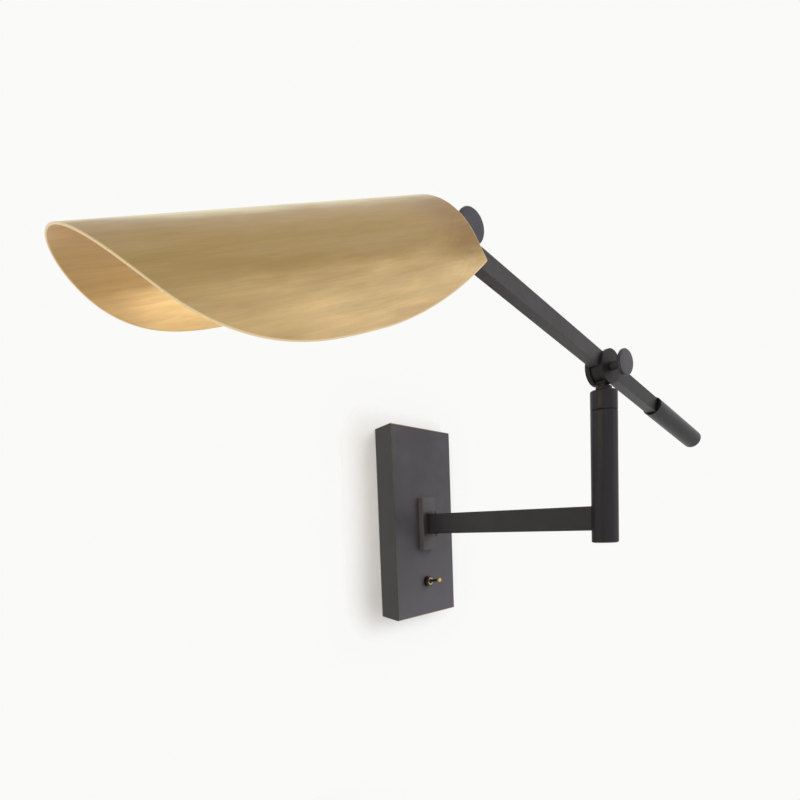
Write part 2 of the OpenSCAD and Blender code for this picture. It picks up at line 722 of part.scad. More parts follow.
// a place on the sheet: u along the ridge, s from the ridge over the bend, d below the outer face
function bent(u, s, d) = let (a = abs(s), g = s < 0 ? -1 : 1, t = min(a, bend_l) / bend_r * 180 / PI,
    e = max(a - bend_l, 0), r = bend_r - d)
    [-(shade_start + u), g * (r * sin(t) + e * cos(bend_a)), shade_up - bend_r + r * cos(t) - e * sin(bend_a)];
module shade() {
    nr = len(row_u);
    nc = cols + 1;
    face = nr * nc;
    pts = [for (d = [0, sheet_t]) for (u = row_u) for (j = [0:cols]) bent(u, leaf(u) * (2 * j / cols - 1), d)];
    skin = [for (i = [0:nr - 2]) for (j = [0:cols - 1]) for (k = [0, 1])
        let (a = i * nc + j, b = a + 1, c = a + nc, d = c + 1) k == 0 ? [a, b, d] : [a, d, c]];
    inner = [for (f = skin) [f[0] + face, f[2] + face, f[1] + face]];
    rim = concat([for (j = [0:nc - 1]) j], [for (i = [1:nr - 1]) i * nc + cols],
        [for (j = [1:nc - 1]) (nr - 1) * nc + cols - j], [for (i = [1:nr - 2]) (nr - 1 - i) * nc]);
    n = len(rim);
    edge = [for (i = [0:n - 1]) for (k = [0, 1]) let (a = rim[i], b = rim[(i + 1) % n])
        k == 0 ? [b, a, a + face] : [b, a + face, b + face]];
    color(brass) at_shade() polyhedron(points = pts, faces = concat(skin, inner, edge), convexity = 6);
}

wall_plate();
ground_screw();
canopy();
cover_screws();
hinge_tab();
tab_screws();
hinge_pin();
toggle_body();
toggle_bushing();
toggle_nut();
toggle_lever();
bracket_bar();
post_tube();
post_foot();
post_bush();
swivel_cap();
swivel_washer();
swivel_nut();
neck_collar();
lower_yoke();
tilt_knob();
arm_hub();
arm_tube();
rear_tube();
grip();
end_hub();
shade_yoke();
shade_knob();
stem_nut();
lamp_cup();
cup_nut();
lampholder();
bulb_cap();
bulb_glass();
filament();
shade_bracket();
shade_studs();
stud_nuts();
shade();
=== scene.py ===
# %% [markdown]
# # A swing arm wall lamp with a folded brass shade
# The lamp hangs on a wall: a flat dark canopy, a hinged bar, an upright post, a tilting arm
# with a grip behind, and a leaf of thin brass folded over the bulb.
# The solids come from the packed CAD model and already have the right shape and place.
# This script gives them their finishes, makes the shade and the bulb afresh as smooth
# surfaces, and sets up the wall, the light and the camera.

# %% The packed model
import bpy, math
import numpy as np
from mathutils import Matrix, Vector


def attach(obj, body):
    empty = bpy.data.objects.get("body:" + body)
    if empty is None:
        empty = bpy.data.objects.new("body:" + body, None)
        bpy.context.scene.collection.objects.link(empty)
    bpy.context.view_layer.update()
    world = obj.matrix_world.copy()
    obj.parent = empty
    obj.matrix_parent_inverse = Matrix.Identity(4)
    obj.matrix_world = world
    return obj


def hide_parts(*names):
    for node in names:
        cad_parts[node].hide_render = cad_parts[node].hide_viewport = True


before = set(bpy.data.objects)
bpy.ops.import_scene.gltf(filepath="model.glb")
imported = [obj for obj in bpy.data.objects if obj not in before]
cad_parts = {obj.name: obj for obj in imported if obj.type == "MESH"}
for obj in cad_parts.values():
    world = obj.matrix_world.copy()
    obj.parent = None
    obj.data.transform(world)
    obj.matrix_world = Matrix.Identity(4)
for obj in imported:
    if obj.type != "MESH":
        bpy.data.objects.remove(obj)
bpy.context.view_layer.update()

# %% [markdown]
# ## The camera
# The photograph was taken from the left of the lamp, level with the switch, close to the wall.
# The place and angles below come from fitting a camera to the canopy's corners, the bar, the
# post and the arm. Blender's lens is the focal length in pixels times 36 mm over 800 pixels.
# The principal point isn't at the frame's centre, and shift_x and shift_y say by how much.

# %% Camera
PICTURE_PX, SENSOR_MM = 800, 36
FOCAL_PX = 540.0
CENTRE_PX = (412.18, 561.70)
EYE = Vector((-0.531204, -0.435151, 0.000953))
YAW, PITCH, ROLL = 0.890282, -0.073471, -0.036490

def camera_axes(yaw, pitch, roll):
    """Right, up and forward of a camera: yaw turns from +Y to +X, pitch lifts, roll leans."""
    flat = math.cos(pitch)
    forward = Vector((math.sin(yaw) * flat, math.cos(yaw) * flat, math.sin(pitch)))
    side = Vector((math.cos(yaw), -math.sin(yaw), 0))
    up = side.cross(forward)
    right = side * math.cos(roll) + up * math.sin(roll)
    return right, up * math.cos(roll) - side * math.sin(roll), forward

right, up, forward = camera_axes(YAW, PITCH, ROLL)
cam = bpy.data.objects.new("camera", bpy.data.cameras.new("camera"))
bpy.context.scene.collection.objects.link(cam)
turn = Matrix((right, up, -forward)).transposed().to_4x4()
cam.matrix_world = Matrix.Translation(EYE) @ turn
cam.data.sensor_width = SENSOR_MM
cam.data.lens = FOCAL_PX * SENSOR_MM / PICTURE_PX
cam.data.shift_x = 0.5 - CENTRE_PX[0] / PICTURE_PX
cam.data.shift_y = CENTRE_PX[1] / PICTURE_PX - 0.5
cam.data.clip_start = 0.02
bpy.context.scene.camera = cam
print("lens", round(cam.data.lens, 2), "mm")
print("shift", round(cam.data.shift_x, 4), round(cam.data.shift_y, 4))

# %% [markdown]
# ## Small helpers for node trees
# A material is a tree of nodes. `Tree` below keeps each line short: it adds a node, sets its
# values and joins its sockets, so that a finish reads as a list of what is done to the surface.

# %% Node tree helper
class Tree:
    """Adds nodes to one tree. A value given as a socket is linked, anything else is set."""

    def __init__(self, tree):
        """Keeps the tree that the nodes go into."""
        self.tree = tree

    def add(self, kind, out=0, **values):
        """A node by the name of its kind. Names in small letters are its own settings, the rest
        are sockets, by name or as I0, I1 by place. Gives back one output, by name or place."""
        node = self.tree.nodes.new("ShaderNode" + kind)
        for name, value in values.items():
            if name[0].islower():
                setattr(node, name, value)
        for name, value in values.items():
            if not name[0].islower():
                which = int(name[1:]) if name[1:].isdigit() else name.replace("_", " ")
                self.give(node.inputs[which], value)
        return node.outputs[out]

    def give(self, socket, value):
        """Links a socket to an input, or sets the input to a plain value."""
        if isinstance(value, bpy.types.NodeSocket):
            self.tree.links.new(value, socket)
        else:
            socket.default_value = value

    def math(self, operation, a, b=0.0, clamp=False):
        """One sum on one or two values; clamp keeps it between 0 and 1."""
        return self.add("Math", operation=operation, use_clamp=clamp, I0=a, I1=b)

    def mix(self, factor, a, b, blend="MIX"):
        """One colour over another by a mask."""
        return self.add("Mix", out=2, data_type="RGBA", blend_type=blend, I0=factor, I6=a, I7=b)

    def ramp(self, value, low, high, to_low=0.0, to_high=1.0):
        """A straight ramp from to_low at low to to_high at high, held outside."""
        return self.add("MapRange", Value=value,
                        From_Min=low, From_Max=high, To_Min=to_low, To_Max=to_high)

    def ease(self, value, low, high, to_low=0.0, to_high=1.0):
        """The same ramp with soft ends: 3x^2 - 2x^3 between low and high."""
        return self.add("MapRange", interpolation_type="SMOOTHSTEP", Value=value,
                        From_Min=low, From_Max=high, To_Min=to_low, To_Max=to_high)

    def grey(self, value):
        """A value as a grey colour."""
        return self.add("CombineColor", Red=value, Green=value, Blue=value)

    def noise(self, vector, scale, detail=3.0, rough=0.55):
        """Soft random spots, about 1 / scale wide, mostly between 0.3 and 0.7."""
        return self.add("TexNoise", Vector=vector, Scale=scale, Detail=detail, Roughness=rough)

    def stretch(self, vector, scale, place=(0, 0, 0)):
        """Coordinates times a scale for each direction, then moved by place."""
        return self.add("Mapping", Vector=vector, Scale=scale, Location=place)

    def parts(self, vector):
        """The x, y and z of a vector."""
        node = self.tree.nodes.new("ShaderNodeSeparateXYZ")
        self.give(node.inputs[0], vector)
        return node.outputs

    def place(self):
        """Where a point is on its own object, so that a pattern stays when the piece moves."""
        return self.add("TexCoord", out="Object")

    def own_normal(self, vector):
        """The x, y and z of a normal of the room as the object sees it."""
        return self.parts(self.add("VectorTransform", vector_type="NORMAL", convert_from="WORLD",
                                   convert_to="OBJECT", I0=vector))

    def facing(self):
        """The x, y and z of the direction that the surface faces, as the object sees it."""
        return self.own_normal(self.add("NewGeometry", out="Normal"))

print("helpers:", [name for name in vars(Tree) if name[0] != "_"])

# %% [markdown]
# ## Groups, colours and materials
# A group is a small tree that many materials share. Its sockets are declared on its interface,
# with a default for those that have one. Colours are written as they read in a picture, 0 to
# 255, and turned into the linear light that Blender reckons in.

# %% Groups, colours and materials
def make_group(name, inputs, outputs):
    """An empty shader group; inputs and outputs map a name to a kind and a default."""
    group = bpy.data.node_groups.new(name, "ShaderNodeTree")
    for side, sockets in (("INPUT", inputs), ("OUTPUT", outputs)):
        for label, (kind, value) in sockets.items():
            socket = group.interface.new_socket(label, in_out=side, socket_type="NodeSocket" + kind)
            if value is not None:
                socket.default_value = value
    tree = Tree(group)
    source = group.nodes.new("NodeGroupInput").outputs
    sink = group.nodes.new("NodeGroupOutput").inputs
    return group, tree, source, sink

def use(tree, group, **values):
    """Places a group in a material's tree and returns its outputs."""
    node = tree.tree.nodes.new("ShaderNodeGroup")
    node.node_tree = group
    for name, value in values.items():
        tree.give(node.inputs[name.replace("_", " ")], value)
    return node.outputs

def rgb(r, g, b):
    """A colour read off a picture, 0 to 255, as the linear values that Blender wants."""
    s = np.array([r, g, b]) / 255
    linear = np.where(s <= 0.04045, s / 12.92, ((s + 0.055) / 1.055) ** 2.4)
    return (*[float(v) for v in linear], 1.0)

def new_material(name):
    """A material, its tree, and the inputs of its shader."""
    mat = bpy.data.materials.new(name)
    mat.use_nodes = True
    return mat, Tree(mat.node_tree), mat.node_tree.nodes["Principled BSDF"].inputs

print("a mid grey of 128 is", round(rgb(128, 128, 128)[0], 3), "in linear light")

# %% [markdown]
# ## Wall and floor
# The photograph has a white wall that runs out of sight, with one soft shadow beside the
# canopy. A real wall would hide the lamp from behind, so this one shows only its front: the
# material turns clear where Backfacing is true, and away from the canopy it fades into the
# white world. Near the canopy most of its white is paint that the lamps light, so that it takes
# the shadow, and the rest is plain white. The floor is the same paint far below. Rays from the
# lamp's own surfaces pass both by.

# %% Wall and floor material
PAPER = rgb(250, 250, 249)
SHADOW_SHARE = 0.75
FADE_FROM, FADE_TO = 0.3, 2

def paper_material(name, middle, half_x, half_z, reach, far_share, level):
    """Pale paint in two shares: one is lit and takes the shadow, the rest is plain white. The
    lit share is SHADOW_SHARE at a middle block of half_x by half_z and far_share a reach away,
    and level makes the lit share as white as the rest. Between FADE_FROM and FADE_TO times
    the reach the sheet fades away."""
    mat, t, _ = new_material(name)
    mat.node_tree.nodes.clear()
    at = t.place()
    mottle = t.ramp(t.noise(at, 1.3, 2), 0.3, 0.7, 0.992, 1.0)
    grain = t.ramp(t.noise(at, 240.0, 2), 0.3, 0.7, 0.97, 1.0)
    tone = t.mix(1.0, PAPER, t.grey(mottle), "MULTIPLY")
    away = t.add("VectorMath", operation="SUBTRACT", I0=at, I1=middle)
    apart = t.parts(t.add("VectorMath", operation="ABSOLUTE", I0=away))
    gap_x = t.math("MAXIMUM", t.math("SUBTRACT", apart[0], half_x), 0.0)
    gap_z = t.math("MAXIMUM", t.math("SUBTRACT", apart[2], half_z), 0.0)
    gap = t.math("SQRT", t.math("ADD", t.math("POWER", gap_x, 2.0), t.math("POWER", gap_z, 2.0)))
    share = t.ease(gap, 0.01, reach, SHADOW_SHARE, far_share)
    shade = t.grey(t.math("MULTIPLY", share, level))
    lit = t.add("BsdfDiffuse", Color=t.mix(1.0, tone, shade, "MULTIPLY"), Roughness=grain)
    own = t.add("Emission", Color=tone, Strength=t.math("SUBTRACT", 1.0, share))
    paint = t.add("AddShader", I0=lit, I1=own)
    far = t.ease(gap, FADE_FROM * reach, FADE_TO * reach)
    hidden = t.math("MAXIMUM", far, t.add("NewGeometry", out="Backfacing"))
    out = t.add("MixShader", I0=hidden, I1=paint, I2=t.add("BsdfTransparent"))
    sink = mat.node_tree.nodes.new("ShaderNodeOutputMaterial")
    mat.node_tree.links.new(out, sink.inputs[0])
    return mat

wall_paint = paper_material("wall paint", middle=(-0.004, 0, 0), half_x=0.0575, half_z=0.085,
                            reach=0.06, far_share=0.05, level=1.0)
floor_paint = paper_material("floor paint", middle=(0, 0, 0), half_x=0.2, half_z=1.0,
                             reach=0.6, far_share=0.3, level=1.04)
print("paper materials:", wall_paint.name, "and", floor_paint.name)

# %% Wall and floor sheets
def paper_sheet(name, corner, along, across, mat):
    """A flat sheet: its four corners are the first corner plus each side."""
    c, a, b = (np.array(v, float) for v in (corner, along, across))
    mesh = bpy.data.meshes.new(name)
    mesh.from_pydata([c, c + a, c + a + b, c + b], [], [(0, 1, 2, 3)])
    mesh.materials.append(mat)
    sheet = bpy.data.objects.new(name, mesh)
    bpy.context.scene.collection.objects.link(sheet)
    sheet.visible_shadow = sheet.visible_diffuse = sheet.visible_glossy = False
    return sheet

ROOM_HALF, WALL_AT = 1.6, 0.0006
FLOOR_AT = (-0.15, -0.3, -1.15)
side_x, side_y, side_z = (2 * ROOM_HALF * np.eye(3)).tolist()
paper_sheet("wall", (-ROOM_HALF, WALL_AT, -ROOM_HALF), side_x, side_z, wall_paint)
floor = paper_sheet("floor", (-ROOM_HALF, -ROOM_HALF, 0), side_x, side_y, floor_paint)
floor.location = FLOOR_AT
print("wall at y", WALL_AT, "and floor at z", FLOOR_AT[2])

# %% [markdown]
# ## World
# A room seen in polished metal is mostly pale walls. So the world has two strengths: what the
# camera, a mirror or glass sees of it is as white as the paper, and what lights the lamp is
# weaker. The Light Path node tells which of the two a ray gets.

# %% World
SKY_LIGHT = 0.44
world = bpy.data.worlds.new("studio")
bpy.context.scene.world = world
world.use_nodes = True
w = Tree(world.node_tree)
world.node_tree.nodes.clear()
path = world.node_tree.nodes.new("ShaderNodeLightPath").outputs
seen = w.math("MAXIMUM", path["Is Camera Ray"], path["Is Transmission Ray"])
seen = w.math("MAXIMUM", seen, path["Is Glossy Ray"])
lit = w.add("Background", Color=(0.98, 0.985, 1.0, 1), Strength=SKY_LIGHT)
shown = w.add("Background", Color=PAPER, Strength=1.0)
sky = w.add("MixShader", I0=seen, I1=lit, I2=shown)
world.node_tree.links.new(sky, world.node_tree.nodes.new("ShaderNodeOutputWorld").inputs[0])
bpy.context.scene.view_settings.view_transform = "Standard"
print("world lights with", SKY_LIGHT, "and shows as 1")

# %% [markdown]
# ## Lamps
# The light in the photograph comes from the upper right and is soft, as from a wide window: a
# sun with a large angle does that, and throws the shadow beside the canopy. One soft box adds
# light from above.

# %% Lamps
MIDDLE = (-0.1, -0.2, 0.08)

def soft_lamp(name, place, target, size, power):
    """A square soft box that faces its target."""
    data = bpy.data.lights.new(name, "AREA")
    data.shape, data.size, data.energy = "SQUARE", size, power
    lamp = bpy.data.objects.new(name, data)
    bpy.context.scene.collection.objects.link(lamp)
    lamp.location = place
    lamp.rotation_euler = (Vector(target) - Vector(place)).to_track_quat("-Z", "Y").to_euler()
    return lamp

def soft_sun(name, direction, spread, strength):
    """A far window: even light that comes from a direction, softened by its spread in degrees.
    Shiny surfaces mirror the plain world instead of it, as behind a diffusing screen."""
    data = bpy.data.lights.new(name, "SUN")
    data.energy, data.angle = strength, math.radians(spread)
    lamp = bpy.data.objects.new(name, data)
    bpy.context.scene.collection.objects.link(lamp)
    lamp.rotation_euler = (-Vector(direction)).to_track_quat("-Z", "Y").to_euler()
    lamp.visible_glossy = False
    return lamp

soft_sun("window", direction=(0.55, -0.6, 0.58), spread=40, strength=2.6)
soft_lamp("top box", place=(0.1, -0.7, 1.9), target=MIDDLE, size=1.5, power=2)
print("lamps:", [light.name for light in bpy.data.lights])

# %% [markdown]
# ## The dark bronze finish
# The arm, post, bar and canopy are painted a charcoal bronze with a faint bloom: it isn't one
# grey but drifts between warmer and cooler. Slow noise between two tones gives that drift. It
# is a group, because the bare metals and the plastic use it too.

# %% Slow clouds
clouds, t, i, o = make_group("slow clouds",
    {"Size": ("Float", 30.0), "Tone A": ("Color", None), "Tone B": ("Color", None)},
    {"Color": ("Color", None)})
broad = t.noise(t.place(), i["Size"], 4, 0.6)
t.give(o["Color"], t.mix(t.ramp(broad, 0.36, 0.64), i["Tone A"], i["Tone B"]))

def cloudy(t, size, tone_a, tone_b):
    """A colour that drifts between two tones, in spots about 1 / size wide."""
    return use(t, clouds, Size=size, Tone_A=tone_a, Tone_B=tone_b)["Color"]

print("group:", clouds.name)

# %% [markdown]
# ## Grain
# Sprayed paint has a fine grain that breaks up reflections. Fast noise makes a low bump, and
# with slow noise it shifts the roughness, so a reflection is duller here than there. The bump
# starts from a normal that may come from outside, which lets soft edges and grain add up.

# %% Fine grain
grain, t, i, o = make_group("fine grain",
    {"Size": ("Float", 2500.0), "Rough": ("Float", 0.4), "Spread": ("Float", 0.08),
     "Height": ("Float", 0.00002), "Normal": ("Vector", None)},
    {"Roughness": ("Float", None), "Normal": ("Vector", None)})
at = t.place()
speck = t.noise(at, i["Size"], 2, 0.5)
slow = t.noise(at, 60.0, 3, 0.5)
change = t.math("SUBTRACT", t.math("ADD", t.math("MULTIPLY", speck, 0.5), slow), 0.75)
rougher = t.math("MULTIPLY", change, i["Spread"])
t.give(o["Roughness"], t.math("ADD", i["Rough"], rougher, clamp=True))
# without a normal from outside, its length is 0 and the surface's own normal is used
geo = t.tree.nodes.new("ShaderNodeNewGeometry").outputs
length = t.add("VectorMath", out="Value", operation="LENGTH", I0=i["Normal"])
missing = t.math("SUBTRACT", 1.0, length, clamp=True)
plain = t.add("VectorMath", operation="SCALE", I0=geo["Normal"], Scale=missing)
base = t.add("VectorMath", operation="ADD", I0=i["Normal"], I1=plain)
t.give(o["Normal"], t.add("Bump", Height=speck, Distance=i["Height"], Strength=1.0, Normal=base))

def grained(t, bsdf, **values):
    """Gives a shader the grain's roughness and normal."""
    surface = use(t, grain, **values)
    t.give(bsdf["Roughness"], surface["Roughness"])
    t.give(bsdf["Normal"], surface["Normal"])

print("group:", grain.name)

# %% [markdown]
# ## Rubbed edges
# Hands and cloths rub paint through to the brass along sharp edges. The Bevel node averages
# the normals nearby: where that disagrees with the surface's own normal, there is an edge. It
# works on the large flat faces of CAD meshes, where Pointiness, which needs points, doesn't.

# %% Rubbed edge
rubbed, t, i, o = make_group("rubbed edge",
    {"Width": ("Float", 0.0006), "Amount": ("Float", 1.0), "Level Only": ("Float", 0.0)},
    {"Mask": ("Float", None), "Soft Normal": ("Vector", None)})
geo = t.tree.nodes.new("ShaderNodeNewGeometry").outputs
round_off = t.add("Bevel", samples=8, Radius=i["Width"])
agree = t.add("VectorMath", out="Value", operation="DOT_PRODUCT", I0=round_off, I1=geo["Normal"])
edge = t.ramp(agree, 0.955, 0.82)
patchy = t.ramp(t.noise(t.place(), 90.0, 4, 0.65), 0.42, 0.58)
# an edge between a face and a top or bottom: its averaged normal leans up or down
lean = t.ramp(t.math("ABSOLUTE", t.own_normal(round_off)[2]), 0.2, 0.5)
upright = t.math("SUBTRACT", 1.0, lean)
level = t.math("SUBTRACT", 1.0, t.math("MULTIPLY", i["Level Only"], upright))
spots = t.math("MULTIPLY", t.math("MULTIPLY", edge, patchy), level)
t.give(o["Mask"], t.math("MULTIPLY", spots, i["Amount"], clamp=True))
t.give(o["Soft Normal"], round_off)
print("group:", rubbed.name)

# %% [markdown]
# ## The paint
# One function puts clouds, grain and rubbed edges together. Paint is only a little metallic,
# and brass nearly fully, so the edge mask drives Metallic as well as the colour. Where nothing
# is rubbed, the Bevel node is left out, because it is slow.

# %% Bronze paint
# brass that worn edges show, also used for the painted glints on the canopy and the post's foot
BRASS_WEAR_AND_GLINT = rgb(176, 142, 92)
PAINT_METALLIC, WORN_METALLIC = 0.25, 0.9
PAINT_GRAIN, EDGE_WIDTH = 2200.0, 0.0006

def bronze_paint(name, tone_a, tone_b, rough, wear, size=28.0, level_only=0.0,
                 by_place=None, shine=0.45):
    """Dark paint over brass, with clouds of the given size between two tones. wear rubs the
    edges through, level_only keeps that to level edges, by_place may change the colour from
    place to place, and shine is how strongly the paint reflects."""
    mat, t, bsdf = new_material(name)
    colour = cloudy(t, size, tone_a, tone_b)
    if by_place:
        colour = by_place(t, colour)
    if wear:
        edge = use(t, rubbed, Width=EDGE_WIDTH, Amount=wear, Level_Only=level_only)
        colour = t.mix(edge["Mask"], colour, BRASS_WEAR_AND_GLINT)
        t.give(bsdf["Metallic"], t.ramp(edge["Mask"], 0, 1, PAINT_METALLIC, WORN_METALLIC))
        soft = {"Normal": edge["Soft Normal"]}
    else:
        bsdf["Metallic"].default_value = PAINT_METALLIC
        soft = {}
    grained(t, bsdf, Size=PAINT_GRAIN, Rough=rough, Spread=0.12, Height=0.00001, **soft)
    t.give(bsdf["Base Color"], colour)
    bsdf["Specular IOR Level"].default_value = shine
    return mat

print("brass below the paint:", [round(v, 3) for v in BRASS_WEAR_AND_GLINT[:3]])

# %% [markdown]
# ## Paint that isn't even
# The canopy's face is paler towards its foot, which is painted light from below, and its sides
# are darker and more olive, which is painted shade. Its front has a brass line along the top and
# bottom that is partly worn brass and partly a painted glint. The tab is paler on one side, which
# is painted light. Here the masks come from the object's own coordinates and normal, so they stay
# with a piece when it moves.

# %% Canopy and tab
CANOPY_EDGE, CANOPY_FRONT = 0.1137, -0.0272

def canopy_light_shade_and_wear(t, colour):
    """Paler down the front as painted light, darker and olive on the sides as painted shade, and a
    thin brass line along two edges that is partly wear and partly a painted glint.
    """
    y, z = t.parts(t.place())[1:3]
    # painted light: paler towards the foot of the front
    colour = t.mix(t.ease(z, 0.03, -0.11, 0, 0.8), colour, rgb(87, 84, 90))
    # painted shade: darker and more olive on the sides
    sides = t.ease(t.math("ABSOLUTE", t.facing()[0]), 0.5, 0.8)
    colour = t.mix(t.math("MULTIPLY", sides, 0.85), colour, rgb(62, 61, 57))
    # a brass line along the top and bottom of the front: partly wear, partly a painted glint
    ends = t.ramp(t.math("ABSOLUTE", z), CANOPY_EDGE - 0.0004, CANOPY_EDGE)
    line = t.math("MULTIPLY", ends, t.ramp(y, CANOPY_FRONT + 0.0003, CANOPY_FRONT))
    return t.mix(t.math("MULTIPLY", line, 0.75), colour, BRASS_WEAR_AND_GLINT)

def painted_light_side(t, colour):
    """Paler on the side that faces -X: painted light."""
    sides = t.ease(t.facing()[0], -0.5, -0.8)
    return t.mix(sides, colour, rgb(108, 106, 107))

print("brass line at z", CANOPY_EDGE, "and y", CANOPY_FRONT)

# %% [markdown]
# ## Post, bar and tubes
# The post has faint upright bands, which are painted reflections, and its foot has a brass line
# round the edge, which is a painted glint. The bar darkens towards the post, and the tubes are
# paler below, which is painted light from below. One coordinate, or one part of the normal, is
# mask enough for each.

# %% Post, bar and tubes
FOOT_EDGE = -0.0257

def painted_upright_reflections(t, colour):
    """Faint upright bands of painted reflection: noise that is stretched 100 times along the post.
    """
    bands = t.noise(t.stretch(t.place(), (190, 190, 1.5)), 1.0, 2, 0.5)
    return t.mix(t.ramp(bands, 0.38, 0.62, 0, 0.9), colour, rgb(46, 42, 48))

def foot_painted_glint(t, colour):
    """The post's painted reflections, and a painted glint of brass round the lowest edge."""
    at = t.place()
    # a painted glint of brass round the foot's lowest edge, in patches
    worn = t.ramp(t.noise(at, 90.0, 4, 0.65), 0.4, 0.6, 0.2, 0.8)
    low = t.math("MULTIPLY", worn, t.ramp(t.parts(at)[2], FOOT_EDGE + 0.0005, FOOT_EDGE))
    return t.mix(low, painted_upright_reflections(t, colour), BRASS_WEAR_AND_GLINT)

def painted_light_below(tone):
    """Painted light from below: faces that look down get a paler paint of the given tone."""
    def by_place(t, colour):
        """The tone where the facing's z is below -0.5, none of it above -0.2."""
        down = t.ease(t.facing()[2], -0.2, -0.5)
        return t.mix(down, colour, tone)
    return by_place

def darker_outwards(t, colour):
    """Darker from the hinge to the post."""
    y = t.parts(t.place())[1]
    return t.mix(t.ramp(y, -0.07, -0.24, 0, 0.85), colour, rgb(36, 34, 36))

print("brass round the post's foot at z", FOOT_EDGE)

# %% [markdown]
# ## Knobs
# Each clamp knob is darker round its rim, which is painted shade where its rounded edge turns
# from the light. A knob's axis leans across the room, so no single coordinate tells where the rim
# is. Its mask is the distance from the axis, reckoned from the joint that the knob clamps.

# %% Knobs at the arm's two joints
PIVOT = np.array([0, -0.24975, 0.1414])
HEAD_AT = (-0.1957, -0.2082, 0.2018)
ARM_YAW = -12
ARM_AXIS = (math.sin(math.radians(ARM_YAW)), -math.cos(math.radians(ARM_YAW)), 0)
KNOB_R = 0.0118

def painted_shade_rim(centre, axis):
    """Painted shade round the rim of a knob, whose axis goes through a centre."""
    def by_place(t, colour):
        """Dark where the distance from the axis nears KNOB_R: the distance between a point and
        its own foot on the axis, which is the axis times their dot product."""
        point = t.add("VectorMath", operation="SUBTRACT", I0=t.place(), I1=tuple(centre))
        along = t.add("VectorMath", out="Value", operation="DOT_PRODUCT", I0=point, I1=axis)
        on_axis = t.add("VectorMath", operation="SCALE", I0=axis, Scale=along)
        off = t.add("VectorMath", out="Value", operation="DISTANCE", I0=point, I1=on_axis)
        return t.mix(t.ease(off, KNOB_R - 0.0011, KNOB_R, 0, 0.85), colour, rgb(46, 44, 46))
    return by_place

print("knob axis", [round(v, 3) for v in ARM_AXIS])

# %% [markdown]
# ## One paint, many pieces
# The maker used one finish, but on the photograph each piece has its own depth of it, and each
# piece's two tones follow that depth: lit and shaded copies of one paint, so they are partly
# painted light and shade. So the same function makes a paint for each, from two tones that
# the clouds mix, its roughness and how far its edges are rubbed.

# %% Paints of the pieces
# the two numbers after the tones are the roughness and how far the edges are rubbed
# each piece's tones are as light or dark as the piece looks, so they hold painted light and shade
bronze = bronze_paint("charcoal bronze", rgb(58, 55, 57), rgb(68, 65, 68), 0.44, 0.25,
                      by_place=painted_light_below(rgb(70, 66, 65)))
rear_bronze = bronze_paint("rear tube bronze", rgb(38, 36, 38), rgb(46, 44, 46), 0.44, 0.25,
                           by_place=painted_light_below(rgb(80, 78, 78)))
bar_bronze = bronze_paint("bar bronze", rgb(54, 51, 53), rgb(62, 59, 62), 0.44, 0.2,
                          by_place=darker_outwards, shine=0.35)
# the canopy's level edges rub to brass: partly wear, partly a painted glint
canopy_bronze = bronze_paint("canopy bronze", rgb(63, 60, 64), rgb(75, 72, 76), 0.5, 0.6,
                             size=12.0, level_only=1.0, by_place=canopy_light_shade_and_wear)
# the tab's paler side is painted light
tab_bronze = bronze_paint("tab bronze", rgb(72, 69, 71), rgb(82, 79, 82), 0.5, 0.2,
                          by_place=painted_light_side)
post_bronze = bronze_paint("post bronze", rgb(20, 18, 19), rgb(28, 26, 28), 0.47, 0.0,
                           by_place=painted_upright_reflections, shine=0.35)
foot_bronze = bronze_paint("post foot bronze", rgb(20, 18, 19), rgb(28, 26, 28), 0.47, 0.0,
                           by_place=foot_painted_glint, shine=0.35)
joint_bronze = bronze_paint("joint bronze", rgb(35, 33, 32), rgb(45, 43, 41), 0.5, 0.0, shine=0.3)
grip_bronze = bronze_paint("grip bronze", rgb(44, 42, 43), rgb(54, 52, 53), 0.42, 0.0)
low_knob_bronze = bronze_paint("lower knob bronze", rgb(62, 60, 66), rgb(76, 73, 79), 0.4, 0.0,
                               by_place=painted_shade_rim(PIVOT, ARM_AXIS))
high_knob_bronze = bronze_paint("upper knob bronze", rgb(60, 58, 64), rgb(74, 71, 77), 0.4, 0.0,
                                by_place=painted_shade_rim(HEAD_AT, ARM_AXIS))
cup_bronze = bronze_paint("cup bronze", rgb(58, 52, 48), rgb(70, 64, 58), 0.5, 0.3)
print("paints:", sum("bronze" in mat.name for mat in bpy.data.materials))

# %% [markdown]
# ## The bright fittings
# The hidden fittings are zinc plated steel, the switch has a nickel bushing, a blackened nut and
# a browned lever with a gilt tip, and the shade's nuts and studs are brass. Bare metal is
# Metallic 1: its colour is the colour of its reflection. The clouds group gives each a slow
# tarnish, and the grain group keeps the reflections soft.

# %% Plain metals
LEVER_TIP = -0.0448

def gilt_tip(t, colour):
    """Gilt from the neck of the lever's ball outwards."""
    y = t.parts(t.place())[1]
    return t.mix(t.ramp(y, LEVER_TIP + 0.001, LEVER_TIP), colour, rgb(226, 196, 110))

def bare_metal(name, tone_a, tone_b, rough, size=60.0, wear=0.0, by_place=None):
    """Metal without paint, between two tones; wear brightens its edges."""
    mat, t, bsdf = new_material(name)
    colour = cloudy(t, size, tone_a, tone_b)
    if by_place:
        colour = by_place(t, colour)
    if wear:
        worn = use(t, rubbed, Width=0.0004, Amount=wear)["Mask"]
        colour = t.mix(worn, colour, rgb(232, 214, 168))
    grained(t, bsdf, Size=3000.0, Rough=rough, Spread=0.15, Height=0.000006)
    t.give(bsdf["Base Color"], colour)
    bsdf["Metallic"].default_value = 1.0
    return mat

